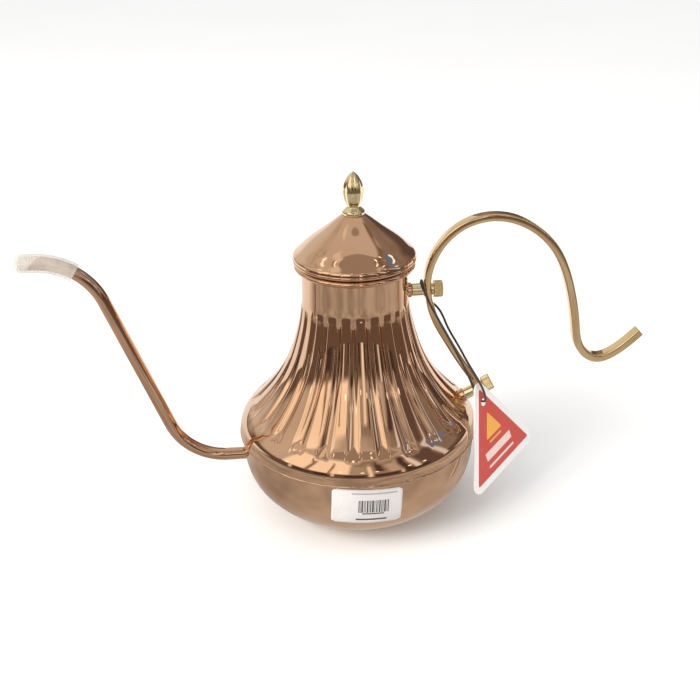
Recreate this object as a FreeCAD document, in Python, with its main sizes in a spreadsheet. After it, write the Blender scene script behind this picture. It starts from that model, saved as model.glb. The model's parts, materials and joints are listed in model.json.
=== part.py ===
import FreeCAD, Part
import Sketcher
import math
import os
import re

# Gooseneck kettle: a spun bowl and a fluted bell shell, a thin bent spout, a brass strap handle held
# by two thumb screws, a lift-off lid with a bud finial, and the shop fittings that hang on it.
#
# Frame: millimetres, +Z up, origin at the centre of the base on the table.
# +X points to the handle, -X to the spout; the handle and the spout lie in the plane Y = 0.

V = FreeCAD.Vector
UP = V(0, 0, 1)

doc = FreeCAD.newDocument("gooseneck_kettle")
sheet = doc.addObject("Spreadsheet::Sheet", "sizes")

SIZES = {
    # shells
    "wall": 0.8,
    "weld_gap": 0.05,
    "base_radius": 34.0,
    "bowl_radius": 60.1,
    "bowl_arc_height": 20.0,
    "seam_height": 42.0,
    "lap": 3.5,
    "bell_radius": 61.0,
    "neck_radius": 26.2,
    "neck_height": 130.4,
    "rim_radius": 29.7,
    "rim_top": 134.2,
    "flute_number": 24.0,
    "flute_bottom": 56.0,
    "flute_top": 114.5,
    "flute_depth": 0.042,
    # spout
    "spout_radius": 3.25,
    "spout_wall": 0.7,
    "spout_height": 28.5,
    "spout_rise_angle": 70.3,
    "spout_run": 8.4,
    "spout_low_bend": 30.0,
    "spout_high_bend": 32.5,
    "spout_tip_rise": 112.0,
    "bevel_angle": 50.0,
    # handle and its studs
    "strap_thick": 3.2,
    "strap_swell": 0.5,
    "strap_flare": 0.5,
    "strap_flat_depth": 0.06,
    "strap_width": 6.2,
    "strap_edge": 1.1,
    "stud_upper_height": 116.5,
    "stud_lower_x": 63.7,
    "stud_lower_height": 59.4,
    "stud_lower_tilt": 27.0,
    "spacer_length": 6.4,
    "spacer_radius": 3.1,
    "spacer_end_bevel": 0.35,
    "boss_radius": 3.7,
    "boss_height": 4.6,
    "screw_radius": 1.95,
    "screw_hole_radius": 2.0,
    "screw_reach": 10.2,
    "knob_radius": 4.2,
    "knob_length": 4.6,
    "knob_neck_radius": 2.9,
    "knob_neck_length": 1.2,
    "knob_edge": 0.6,
    "knurl_number": 30.0,
    "knurl_depth": 0.22,
    # lid
    "lid_radius": 30.2,
    "lid_bottom": 134.5,
    "lid_bead": 1.1,
    "lid_top": 157.2,
    "lid_flat_radius": 5.6,
    "vent_radius": 0.75,
    "vent_distance": 23.5,
    "plug_radius": 24.9,
    "plug_wall": 0.7,
    "plug_depth": 11.0,
    # finial and its screw
    "finial_collar_radius": 5.4,
    "finial_collar_height": 3.8,
    "finial_waist_radius": 3.1,
    "finial_bud_radius": 4.9,
    "finial_height": 20.7,
    "finial_lobes": 6.0,
    "finial_screw_radius": 1.5,
    "finial_screw_head": 2.8,
    "finial_screw_head_length": 1.6,
    "finial_screw_length": 8.6,
    "washer_radius": 3.9,
    "washer_thick": 0.5,
    # shop fittings
    "sleeve_radius": 4.6,
    "sleeve_bore": 3.35,
    "sleeve_turn": 35.0,
    "sleeve_overhang": 8.4,
    "sleeve_end_wall": 1.2,
    "sleeve_end_round": 3.2,
    "label_width": 34.0,
    "label_height": 21.6,
    "label_thick": 0.12,
    "label_top": 40.8,
    "label_tilt": 2.3,
    "label_turn": -1.4,
    "label_corner": 2.0,
    "tag_side": 63.0,
    "tag_thick": 0.6,
    "tag_corner": 4.5,
    "tag_hole_radius": 2.0,
    "tag_hole_drop": 15.2,
    "cord_radius": 0.6,
    "knot_radius": 1.4,
}

row = 1
for alias, number in SIZES.items():
    sheet.set("A%d" % row, alias)
    sheet.set("B%d" % row, str(number))
    sheet.setAlias("B%d" % row, alias)
    row += 1
doc.recompute()


def size(alias):
    """Number held in the sheet under this alias."""
    return float(sheet.get(alias))


# ---------------------------------------------------------------- small helpers

def plane(body, role):
    """One of the body's own origin planes or axes."""
    return next(item for item in body.Origin.OriginFeatures if item.Role == role)


def new_body(name):
    body = doc.addObject("PartDesign::Body", name)
    body.Label = name
    return body


def new_sketch(body, name, role="XZ_Plane"):
    sketch = body.newObject("Sketcher::SketchObject", name)
    sketch.AttachmentSupport = (plane(body, role), [""])
    sketch.MapMode = "FlatFace"
    return sketch


def draw_outline(sketch, corners):
    """Closed straight-sided outline; each corner is a pair of formulas measured from the axes."""
    spots = [(evaluate(x), evaluate(y)) for x, y in corners]
    count = len(spots)
    for index in range(count):
        start = V(*spots[index], 0)
        end = V(*spots[(index + 1) % count], 0)
        sketch.addGeometry(Part.LineSegment(start, end), False)
    for index in range(count):
        sketch.addConstraint(Sketcher.Constraint("Coincident", index, 2, (index + 1) % count, 1))
    for index, (x, y) in enumerate(corners):
        pin_corner(sketch, index, "X", x, spots[index][0])
        pin_corner(sketch, index, "Y", y, spots[index][1])


def pin_corner(sketch, index, direction, formula, value):
    """Hold one coordinate of a corner with a dimension bound to the sheet."""
    if formula == "0":
        axis = -2 if direction == "X" else -1
        sketch.addConstraint(Sketcher.Constraint("PointOnObject", index, 1, axis))
        return
    kind = "Distance" + direction
    number = sketch.addConstraint(Sketcher.Constraint(kind, -1, 1, index, 1, value))
    sketch.setExpression("Constraints[%d]" % number, bound(formula))


def bound(formula):
    """Formula with every alias written as a reference into the sheet."""
    return re.sub("[a-z_]+", lambda word: "sizes." + word.group(0), formula)


def evaluate(formula):
    """Starting value of a plain sum or difference of aliases and numbers."""
    total = 0.0
    for piece in formula.replace("-", "+-").split("+"):
        sign = -1.0 if piece.strip().startswith("-") else 1.0
        factor = 1.0
        for word in piece.replace("-", "").split("*"):
            word = word.strip()
            if word:
                factor *= size(word) if word in SIZES else float(word)
        if piece.strip():
            total += sign * factor
    return total


def turned(body, name, corners, tool="Revolution"):
    """Full turn of an outline about the body's Z axis."""
    sketch = new_sketch(body, name + "_outline")
    draw_outline(sketch, corners)
    doc.recompute()
    feature = body.newObject("PartDesign::" + tool, name)
    feature.Profile = sketch
    feature.ReferenceAxis = (sketch, ["V_Axis"])
    feature.Angle = 360
    sketch.Visibility = False
    doc.recompute()
    return feature


def rounded(body, name, edge_names, base, formula):
    fillet = body.newObject("PartDesign::Fillet", name)
    fillet.Base = (base, edge_names)
    fillet.setExpression("Radius", bound(formula))
    doc.recompute()
    return fillet


def circle_edges(feature, radius, height):
    """Names of the circular edges of this radius at this height."""
    found = []
    for number, edge in enumerate(feature.Shape.Edges, 1):
        curve = edge.Curve
        if isinstance(curve, Part.Circle) and abs(curve.Radius - radius) < 1e-4:
            if abs(curve.Center.z - height) < 1e-4:
                found.append("Edge%d" % number)
    return found


def plain_part(name, shape):
    part = doc.addObject("Part::Feature", name)
    part.Label = name
    part.Shape = shape
    return part


def revolve_wire(edges):
    """Solid swept by a closed outline in the XZ plane turned about Z."""
    face = Part.Face(Part.Wire(edges))
    return face.revolve(V(0, 0, 0), UP, 360)


def spline_edge(points, start=None, end=None):
    """Smooth curve through (radius, height) points, with end directions where given."""
    curve = Part.BSplineCurve()
    spots = [V(x, 0, z) for x, z in points]
    if start and end:
        curve.interpolate(spots, InitialTangent=V(start[0], 0, start[1]), FinalTangent=V(end[0], 0, end[1]))
    else:
        curve.interpolate(spots)
    return curve.toShape()


def line_edge(first, last):
    return Part.makeLine(V(first[0], 0, first[1]), V(last[0], 0, last[1]))


def axial(placement_base, tilt):
    """Placement that lays a part's Z axis outward in the plane Y = 0, raised by tilt degrees."""
    return FreeCAD.Placement(placement_base, FreeCAD.Rotation(V(0, 1, 0), 90 - tilt))


# ---------------------------------------------------------------- lower bowl

def bowl_curve(inset, top_height):
    """Side curve of the bowl from the base edge to the lap, moved inward by inset."""
    radius = size("bowl_radius") - inset
    foot = size("base_radius") - inset
    waist = size("bowl_arc_height")
    return [
        (foot, inset),
        (foot + 5.3, inset + 2.9),
        (foot + 10.2, inset + 6.0),
        (foot + 15.1, inset + 10.0),
        (foot + 19.5, inset + 14.8),
        (foot + 22.7, inset + waist - 0.2),
        (foot + 24.6, inset + waist + 4.8),
        (radius - 0.4, waist + 10.4),
        (radius, waist + 17.0),
        (radius, top_height),
    ]


def bowl_body(inset, top_height):
    """Solid bounded by the bowl's side curve, used for the outside and for the hollow."""
    points = bowl_curve(inset, top_height)
    side = spline_edge(points, start=(1.0, 0.5), end=(0.0, 1.0))
    edges = [
        side,
        line_edge((points[-1][0], top_height), (0, top_height)),
        line_edge((0, top_height), (0, inset)),
        line_edge((0, inset), (points[0][0], inset)),
    ]
    return revolve_wire(edges)


def make_bowl():
    """Drawn bowl with a flat base, a straight lap under the bell and the outlet to the spout."""
    top = size("seam_height") + size("lap")
    shell = bowl_body(0.0, top).cut(bowl_body(size("wall"), top + 1.0))
    outlet = Part.makeCylinder(
        size("spout_radius") - size("spout_wall"), 20.0,
        V(-size("bowl_radius") - 5.0, 0, size("spout_height")), V(1, 0, 0))
    return plain_part("lower_bowl", shell.cut(outlet).removeSplitter())


# ---------------------------------------------------------------- fluted bell

def bell_profile():
    """(height, radius) stations of the bell from the seam up to the rim."""
    edge = size("bell_radius")
    neck = size("neck_radius")
    start = size("seam_height")
    return [
        (start, edge),
        (start + 2.0, edge),
        (start + 4.5, edge - 0.2),
        (start + 7.5, edge - 1.1),
        (start + 10.2, edge - 2.9),
        (start + 12.6, edge - 5.2),
        (start + 14.6, edge - 7.6),
        (start + 17.0, edge - 10.0),
        (start + 21.0, edge - 13.7),
        (start + 27.0, edge - 18.6),
        (start + 33.0, edge - 22.6),
        (start + 40.0, edge - 26.3),
        (start + 48.0, edge - 29.4),
        (start + 57.0, edge - 32.0),
        (start + 66.0, neck + 0.9),
        (start + 70.5, neck + 0.35),
        (start + 74.5, neck + 0.1),
        (start + 80.0, neck),
        (size("neck_height"), neck),
    ]


def flute_strength(height):
    """0 outside the fluted zone and 1 inside it, with short eased ends."""
    low_end = smooth_step((height - size("flute_bottom")) / 4.0)
    high_end = smooth_step((size("flute_top") - height) / 5.0)
    return low_end * high_end


def smooth_step(amount):
    amount = min(1.0, max(0.0, amount))
    return amount * amount * (3.0 - 2.0 * amount)


def lobed_ring(radius, height, lobes, depth, per_lobe=8):
    """Closed curve at one height: rounded crests with narrower valleys of this depth between them."""
    count = int(lobes) * per_lobe
    spots = []
    for index in range(count):
        turn = 2.0 * math.pi * index / count
        valley = abs(math.sin(0.5 * lobes * turn)) ** 3
        reach = radius + depth * (0.35 - valley)
        spots.append(V(reach * math.cos(turn), reach * math.sin(turn), height))
    curve = Part.BSplineCurve()
    curve.interpolate(spots, PeriodicFlag=True)
    return Part.Wire(curve.toShape())


def bell_body(offset, drop=0.0, rise=0.0):
    """Solid inside the bell surface, the surface moved outward by offset."""
    stations = bell_profile()
    rings = []
    for index, (height, radius) in enumerate(stations):
        if index == 0:
            height -= drop
        if index == len(stations) - 1:
            height += rise
        depth = size("flute_depth") * radius * flute_strength(height)
        rings.append(lobed_ring(radius + offset, height, size("flute_number"), depth))
    return Part.makeLoft(rings, True, False)


def smooth_bell_body(offset):
    """Solid of revolution through the flute crests, used to shape what sits on the bell."""
    points = []
    for height, radius in bell_profile():
        crest = 0.35 * size("flute_depth") * radius * flute_strength(height)
        points.append((radius + crest + offset, height))
    low = points[0][1]
    high = points[-1][1]
    return revolve_wire([
        spline_edge(points),
        line_edge(points[-1], (0, high)),
        line_edge((0, high), (0, low)),
        line_edge((0, low), points[0]),
    ])


def rim_bead():
    """Rolled edge of the neck: a bead turned outward around the mouth."""
    neck = size("neck_radius")
    inner = neck - size("wall")
    reach = size("rim_radius")
    low = size("neck_height")
    high = size("rim_top")
    middle = 0.5 * (low + high)
    edges = [
        line_edge((inner, low), (neck, low)),
        spline_edge(
            [(neck, low), (reach - 1.0, low + 0.35), (reach, middle), (reach - 1.0, high - 0.35),
             (neck + 0.9, high)],
            start=(1.0, 0.0), end=(-1.0, 0.0)),
        line_edge((neck + 0.9, high), (neck + 0.2, high)),
        Part.Arc(V(neck + 0.2, 0, high), V(inner + 0.25, 0, high - 0.3), V(inner, 0, high - 1.0)).toShape(),
        line_edge((inner, high - 1.0), (inner, low)),
    ]
    return revolve_wire(edges)


def make_bell():
    shell = bell_body(0.0).cut(bell_body(-size("wall"), drop=1.0, rise=1.0))
    return plain_part("bell_shell", shell.fuse(rim_bead()).removeSplitter())


# ---------------------------------------------------------------- spout

def spout_bends():
    """Corner points and bend centres of the spout's centre line."""
    rise = math.radians(size("spout_rise_angle"))
    low = size("spout_low_bend")
    high = size("spout_high_bend")
    level = size("spout_height")
    root = V(-size("bowl_radius") - size("spout_run"), 0, level)
    rise_start = root + V(-low * math.sin(rise), 0, low * (1.0 - math.cos(rise)))
    # the rise is straight and runs into a bend that ends level at the mouth
    mouth_level = level + size("spout_tip_rise")
    length = (mouth_level - high * (1.0 - math.cos(rise)) - rise_start.z) / math.sin(rise)
    rise_end = rise_start + V(-math.cos(rise), 0, math.sin(rise)) * length
    centre = V(rise_end.x - high * math.sin(rise), 0, mouth_level - high)
    return root, rise_start, rise_end, centre


def on_high_bend(degrees):
    """Point on the spout's upper bend; 0 degrees is the level mouth, more is nearer the rise."""
    centre = spout_bends()[3]
    angle = math.radians(degrees)
    high = size("spout_high_bend")
    return centre + V(high * math.sin(angle), 0, high * math.cos(angle))


def spout_path():
    """Centre line of the spout with a straight run past the mouth for the slanted cut."""
    rise = math.radians(size("spout_rise_angle"))
    low = size("spout_low_bend")
    start = V(-size("bowl_radius") + 3.0, 0, size("spout_height"))
    root, rise_start, rise_end, centre = spout_bends()
    half_way = root + V(-low * math.sin(0.5 * rise), 0, low * (1.0 - math.cos(0.5 * rise)))
    mouth = on_high_bend(0.0)
    return Part.Wire([
        Part.makeLine(start, root),
        Part.Arc(root, half_way, rise_start).toShape(),
        Part.makeLine(rise_start, rise_end),
        Part.Arc(rise_end, on_high_bend(0.5 * size("spout_rise_angle")), mouth).toShape(),
        Part.makeLine(mouth, mouth - V(size("sleeve_overhang"), 0, 0)),
    ])


def swept_round(path, start, direction, radius):
    ring = Part.Wire(Part.makeCircle(radius, start, direction))
    return path.makePipeShell([ring], True, False)


def make_spout():
    path = spout_path()
    start = V(-size("bowl_radius") + 3.0, 0, size("spout_height"))
    outside = swept_round(path, start, V(-1, 0, 0), size("spout_radius"))
    inside = swept_round(path, start, V(-1, 0, 0), size("spout_radius") - size("spout_wall"))
    tube = outside.cut(inside)
    # the mouth is cut on a slant so that the lower lip reaches furthest
    knife = Part.makeBox(60, 60, 60, V(-30, -30, 0))
    knife.Placement = FreeCAD.Placement(
        on_high_bend(0.0), FreeCAD.Rotation(V(0, 1, 0), -90 + size("bevel_angle")))
    tube = tube.cut(knife)
    seat = bowl_body(-size("weld_gap"), size("seam_height"))
    return plain_part("spout_tube", tube.cut(seat).removeSplitter())


def make_sleeve():
    """Soft clear tube pushed over the bent spout tip, its far end closed and rounded."""
    turn = size("sleeve_turn")
    mouth = on_high_bend(0.0)
    angle = math.radians(turn)
    start_way = V(-math.cos(angle), 0, math.sin(angle))

    def finger(radius, overhang, edge):
        """Round bar along the upper bend and past the mouth, with a rounded far end."""
        path = Part.Wire([
            Part.Arc(on_high_bend(turn), on_high_bend(0.5 * turn), mouth).toShape(),
            Part.makeLine(mouth, mouth - V(overhang, 0, 0)),
        ])
        bar = swept_round(path, on_high_bend(turn), start_way, radius)
        end = [rim for rim in bar.Edges if rim.BoundBox.XMax < mouth.x - overhang + 0.01]
        return bar.makeFillet(edge, end)

    outer = finger(size("sleeve_radius"), size("sleeve_overhang"), size("sleeve_end_round"))
    bore = finger(
        size("sleeve_bore"), size("sleeve_overhang") - size("sleeve_end_wall"),
        size("sleeve_end_round") - size("sleeve_end_wall"))
    return plain_part("spout_sleeve", outer.cut(bore).removeSplitter())


# ---------------------------------------------------------------- handle studs

def stud_frame(which):
    """Point where the stud's axis crosses the middle of the strap, and the axis tilt."""
    if which == "upper":
        reach = size("neck_radius") + 1.8 + size("spacer_length") + 0.5 * size("strap_thick")
        return V(reach, 0, size("stud_upper_height")), 0.0
    return V(size("stud_lower_x"), 0, size("stud_lower_height")), size("stud_lower_tilt")


def along_stud(which, distance):
    """Point on a stud axis; distance runs outward from the middle of the strap."""
    centre, tilt = stud_frame(which)
    angle = math.radians(tilt)
    return centre + V(math.cos(angle), 0, math.sin(angle)) * distance


def make_boss(which):
    """Tapped boss welded to the shell, its foot shaped to the surface below it."""
    _, tilt = stud_frame(which)
    top = -0.5 * size("strap_thick") - size("spacer_length") - size("weld_gap")
    height = size("boss_height")
    rod = Part.makeCylinder(size("boss_radius"), height + 4.0, V(0, 0, -height - 4.0))
    rod = rod.makeChamfer(0.3, [edge for edge in rod.Edges if edge.CenterOfMass.z > -0.01])
    hole = Part.makeCylinder(size("screw_hole_radius"), 1.75, V(0, 0, -1.75))
    part = rod.cut(hole)
    part.Placement = axial(along_stud(which, top), tilt)
    foot = part.cut(smooth_bell_body(size("weld_gap")))
    return plain_part(which + "_boss", foot.removeSplitter())


def make_spacer(which):
    """Turned brass tube between the boss and the strap."""
    _, tilt = stud_frame(which)
    body = new_body(which + "_spacer")
    tube = turned(body, which + "_spacer_tube", [
        ("screw_hole_radius", "weld_gap"),
        ("spacer_radius", "weld_gap"),
        ("spacer_radius", "spacer_length-weld_gap"),
        ("screw_hole_radius", "spacer_length-weld_gap"),
    ])
    ends = circle_edges(tube, size("spacer_radius"), size("weld_gap"))
    ends += circle_edges(tube, size("spacer_radius"), size("spacer_length") - size("weld_gap"))
    chamfer = body.newObject("PartDesign::Chamfer", which + "_spacer_ends")
    chamfer.Base = (tube, ends)
    chamfer.setExpression("Size", bound("spacer_end_bevel"))
    doc.recompute()
    start = -0.5 * size("strap_thick") - size("spacer_length")
    body.Placement = axial(along_stud(which, start), tilt)
    return body


def make_thumb_screw(which):
    """Knurled thumb screw: shank through strap and spacer into the boss, neck, grip."""
    _, tilt = stud_frame(which)
    name = which + "_thumb_screw"
    body = new_body(name)
    grip = turned(body, name + "_turning", [
        ("0", "0"),
        ("screw_radius", "0"),
        ("screw_radius", "screw_reach"),
        ("knob_neck_radius", "screw_reach"),
        ("knob_neck_radius", "screw_reach+knob_neck_length"),
        ("knob_radius", "screw_reach+knob_neck_length"),
        ("knob_radius", "screw_reach+knob_neck_length+knob_length"),
        ("0", "screw_reach+knob_neck_length+knob_length"),
    ])
    low = size("screw_reach") + size("knob_neck_length")
    high = low + size("knob_length")
    edges = circle_edges(grip, size("knob_radius"), low) + circle_edges(grip, size("knob_radius"), high)
    grip = rounded(body, name + "_edges", edges, grip, "knob_edge")
    flute = new_sketch(body, name + "_flute", "XY_Plane")
    flute.addGeometry(Part.Circle(V(size("knob_radius") + 0.1, 0, 0), UP, 0.1 + size("knurl_depth")), False)
    spot = flute.addConstraint(Sketcher.Constraint("DistanceX", -1, 1, 0, 3, size("knob_radius") + 0.1))
    flute.setExpression("Constraints[%d]" % spot, bound("knob_radius+0.1"))
    flute.addConstraint(Sketcher.Constraint("PointOnObject", 0, 3, -1))
    width = flute.addConstraint(Sketcher.Constraint("Radius", 0, 0.1 + size("knurl_depth")))
    flute.setExpression("Constraints[%d]" % width, bound("knurl_depth+0.1"))
    doc.recompute()
    groove = body.newObject("PartDesign::Pocket", name + "_groove")
    groove.Profile = flute
    groove.Type = 0
    groove.Reversed = True
    groove.setExpression("Length", bound("screw_reach+knob_neck_length+knob_length+1"))
    doc.recompute()
    if groove.Shape.isNull() or groove.Shape.Volume > grip.Shape.Volume - 1e-6:
        groove.Reversed = False
        doc.recompute()
    body.Tip = groove
    around = body.newObject("PartDesign::PolarPattern", name + "_knurl")
    around.Originals = [groove]
    around.Axis = (plane(body, "Z_Axis"), [""])
    around.Angle = 360
    around.setExpression("Occurrences", bound("knurl_number"))
    body.Tip = around
    doc.recompute()
    start = 0.5 * size("strap_thick") + size("weld_gap") - size("screw_reach")
    body.Placement = axial(along_stud(which, start), tilt)
    return body


# ---------------------------------------------------------------- handle strap

def strap_points():
    """(x, z) points on the middle line of the strap, from the lower stud to the hooked end."""
    lower, tilt = stud_frame("lower")
    upper, _ = stud_frame("upper")
    angle = math.radians(tilt)
    down = V(math.sin(angle), 0, -math.cos(angle))
    end = lower + down * 4.2
    above = lower - down * 3.6
    return [
        (end.x, end.z),
        (lower.x, lower.z),
        (above.x, above.z),
        (lower.x - 10.0, lower.z + 16.5),
        (lower.x - 17.2, lower.z + 28.8),
        (upper.x + 4.5, upper.z - 17.2),
        (upper.x + 0.7, upper.z - 5.0),
        (upper.x, upper.z),
        (upper.x + 0.2, upper.z + 8.2),
        (upper.x + 4.8, upper.z + 20.8),
        (upper.x + 14.4, upper.z + 31.0),
        (upper.x + 32.0, upper.z + 36.2),
        (upper.x + 49.5, upper.z + 31.0),
        (upper.x + 63.5, upper.z + 17.8),
        (upper.x + 72.0, upper.z - 2.0),
        (upper.x + 76.6, upper.z - 24.0),
        (upper.x + 80.0, upper.z - 36.5),
        (upper.x + 88.8, upper.z - 43.2),
        (upper.x + 99.5, upper.z - 39.5),
        (upper.x + 110.8, upper.z - 29.6),
    ]


def strap_half(curve, parameter):
    """Half thickness: pressed flat at the studs, full between them, a little more at the hook."""
    spot = curve.value(parameter)
    nearest = min((spot - stud_frame(which)[0]).Length for which in ("upper", "lower"))
    swell = 1.0 - math.exp(-((nearest / 9.0) ** 4))
    past_arch = max(0.0, spot.x - stud_frame("upper")[0].x - 30.0) / 80.0
    thick = size("strap_thick") + size("strap_swell") * swell + size("strap_flare") * min(1.0, past_arch)
    return 0.5 * thick + size("strap_flat_depth")


def side_points(curve, sign, count=110):
    """Points on one face of the strap, at equal parameter steps."""
    spots = []
    for index in range(count + 1):
        parameter = curve.FirstParameter + (curve.LastParameter - curve.FirstParameter) * index / count
        way = curve.tangent(parameter)[0]
        side = V(-way.z, 0, way.x).normalize()
        spots.append(curve.value(parameter) + side * (sign * strap_half(curve, parameter)))
    return spots


def make_strap():
    middle = Part.BSplineCurve()
    middle.interpolate([V(x, 0, z) for x, z in strap_points()])
    half = 0.5 * size("strap_thick")
    sides = []
    for sign in (1, -1):
        side = Part.BSplineCurve()
        side.interpolate(side_points(middle, sign))
        sides.append(side)
    first, second = sides
    edges = [
        first.toShape(),
        Part.makeLine(first.EndPoint, second.EndPoint),
        second.toShape(),
        Part.makeLine(second.StartPoint, first.StartPoint),
    ]
    face = Part.Face(Part.Wire(Part.__sortEdges__(edges)))
    width = size("strap_width")
    face.translate(V(0, -0.5 * width, 0))
    strap = face.extrude(V(0, width, 0))
    long_edges = [edge for edge in strap.Edges if edge.Length > 100]
    strap = strap.makeFillet(size("strap_edge"), long_edges)
    for which in ("upper", "lower"):
        _, tilt = stud_frame(which)
        drill = Part.makeCylinder(size("screw_hole_radius"), 12, V(0, 0, -6))
        drill.Placement = axial(along_stud(which, 0.0), tilt)
        strap = strap.cut(drill)
    # the spacer and the screw neck bear on flats filed into the strap
    for which in ("upper", "lower"):
        _, tilt = stud_frame(which)
        for sign in (-1, 1):
            flat = Part.makeCylinder(size("knob_radius"), 2.0, V(0, 0, 0), V(0, 0, sign))
            flat.Placement = axial(along_stud(which, sign * half), tilt)
            strap = strap.cut(flat)
    return plain_part("handle_strap", strap)


# ---------------------------------------------------------------- lid

def lid_profile(inset):
    """Outer curve of the lid from the flat top down to the rim, moved inward by inset."""
    edge = size("lid_radius") - inset
    top = size("lid_top") - inset
    foot = size("lid_bottom")
    flat = size("lid_flat_radius")
    return [
        (flat, top),
        (flat + 2.4, top - 1.7),
        (flat + 8.4, top - 6.4),
        (edge - 11.2, foot + 12.6 - inset),
        (edge - 5.6, foot + 8.2 - inset),
        (edge - 2.1, foot + 4.9 - inset),
        (edge - 0.3, foot + 2.5),
        (edge, foot + 0.9),
    ]


def lid_body(inset, bottom):
    """Solid under the lid's outer curve."""
    points = lid_profile(inset)
    edge, last = points[-1]
    top = points[0][1]
    edges = [
        line_edge((0, top), points[0]),
        spline_edge(points, start=(1.0, -0.45), end=(0.0, -1.0)),
        line_edge((edge, last), (edge, bottom)),
        line_edge((edge, bottom), (0, bottom)),
        line_edge((0, bottom), (0, top)),
    ]
    return revolve_wire(edges)


def make_lid():
    foot = size("lid_bottom")
    bead = size("lid_bead")
    shell = lid_body(0.0, foot + 0.5 * bead).cut(lid_body(size("wall"), foot - 1.0))
    curl = Part.makeTorus(size("lid_radius") - bead, bead, V(0, 0, foot + bead))
    shell = shell.fuse(curl)
    vent = Part.makeCylinder(size("vent_radius"), 20, V(0, 0, foot))
    angle = math.radians(-100)
    vent.translate(V(math.cos(angle), math.sin(angle), 0) * size("vent_distance"))
    bore = Part.makeCylinder(size("finial_screw_radius") + 0.1, 10, V(0, 0, size("lid_top") - 5))
    return plain_part("lid_shell", shell.cut(vent).cut(bore).removeSplitter())


def make_lid_plug():
    """Sleeve inside the lid that centres it in the neck, with a flange spun under the lid."""
    outer = size("plug_radius")
    wall = size("plug_wall")
    foot = size("lid_bottom")
    low = foot - size("plug_depth")
    flange = size("lid_radius") - 2.0 * size("lid_bead") - 0.2
    high = foot + 2.4
    edges = [
        line_edge((outer - wall, low), (outer, low)),
        line_edge((outer, low), (outer, high - 1.2)),
        Part.Arc(V(outer, 0, high - 1.2), V(outer + 0.15, 0, high - 0.85), V(outer + 0.5, 0, high - 0.7)).toShape(),
        line_edge((outer + 0.5, high - 0.7), (flange, high - 0.7)),
        line_edge((flange, high - 0.7), (flange, high)),
        line_edge((flange, high), (outer - wall, high)),
        line_edge((outer - wall, high), (outer - wall, low)),
    ]
    return plain_part("lid_plug", revolve_wire(edges))


def make_finial():
    """Cast bud on a bell-shaped collar, both softly lobed, tapped from below."""
    collar = size("finial_collar_radius")
    rise = size("finial_collar_height")
    waist = size("finial_waist_radius")
    bud = size("finial_bud_radius")
    tall = size("finial_height")
    lobes = size("finial_lobes")
    swell = tall - rise
    stations = [
        (0.0, collar - 0.1, 0.0),
        (0.9, collar, 0.3),
        (2.0, collar - 0.5, 0.5),
        (rise - 0.6, waist + 0.6, 0.3),
        (rise, waist, 0.0),
        (rise + 0.10 * swell, waist + 0.5, 0.2),
        (rise + 0.27 * swell, bud - 0.45, 0.45),
        (rise + 0.46 * swell, bud, 0.5),
        (rise + 0.65 * swell, bud - 0.6, 0.45),
        (rise + 0.82 * swell, bud - 1.9, 0.3),
        (rise + 0.94 * swell, bud - 3.4, 0.1),
        (rise + 1.00 * swell, 0.5, 0.0),
    ]
    rings = [lobed_ring(radius, height, lobes, depth) for height, radius, depth in stations]
    solid = Part.makeLoft(rings, True, False)
    bore = Part.makeCylinder(size("finial_screw_radius") + 0.03, size("finial_screw_length"))
    part = plain_part("finial", solid.cut(bore))
    part.Placement = FreeCAD.Placement(V(0, 0, size("lid_top") + size("weld_gap")), FreeCAD.Rotation())
    return part


def make_finial_screw():
    """Pan-head screw that comes up through the lid into the finial."""
    body = new_body("finial_screw")
    turning = turned(body, "finial_screw_turning", [
        ("0", "0"),
        ("finial_screw_head", "0"),
        ("finial_screw_head", "finial_screw_head_length"),
        ("finial_screw_radius", "finial_screw_head_length"),
        ("finial_screw_radius", "finial_screw_head_length+finial_screw_length"),
        ("0", "finial_screw_head_length+finial_screw_length"),
    ])
    rounded(body, "finial_screw_dome", circle_edges(turning, size("finial_screw_head"), 0.0), turning, "0.7")
    drop = size("wall") + size("washer_thick") + size("finial_screw_head_length") + 2 * size("weld_gap")
    body.Placement = FreeCAD.Placement(V(0, 0, size("lid_top") - drop), FreeCAD.Rotation())
    return body


def make_finial_washer():
    body = new_body("finial_washer")
    turned(body, "finial_washer_ring", [
        ("finial_screw_radius+0.1", "0"),
        ("washer_radius", "0"),
        ("washer_radius", "washer_thick"),
        ("finial_screw_radius+0.1", "washer_thick"),
    ])
    drop = size("wall") + size("washer_thick") + size("weld_gap")
    body.Placement = FreeCAD.Placement(V(0, 0, size("lid_top") - drop), FreeCAD.Rotation())
    return body


# ---------------------------------------------------------------- shop fittings

def make_label():
    """Blank sticker on the front of the bowl, bent to the bowl's surface."""
    thick = size("label_thick")
    gap = size("weld_gap")
    skin = bowl_body(-thick - gap, size("seam_height")).cut(bowl_body(-gap, size("seam_height")))
    height = size("label_height")
    width = size("label_width")
    pad = Part.makeBox(width, 40, height, V(-0.5 * width, -80, size("label_top") - height))
    corners = [edge for edge in pad.Edges if abs(edge.tangentAt(0).y) > 0.99]
    pad = pad.makeFillet(size("label_corner"), corners)
    pad.rotate(V(0, 0, size("label_top") - 0.5 * height), V(0, 1, 0), size("label_tilt"))
    pad.rotate(V(0, 0, 0), UP, size("label_turn"))
    return plain_part("price_label", skin.common(pad))


def tag_frame():
    """Top corner of the hanging tag and the unit vectors across it, down it and out of it."""
    top = V(57.95, -13.7, 73.2)
    away = V(0.672, 0.728, 0.135)
    down = V(0.315, -0.116, -0.942)
    away = (away - down * away.dot(down) / down.dot(down)).normalize()
    down.normalize()
    return top, away, down, down.cross(away)


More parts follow.
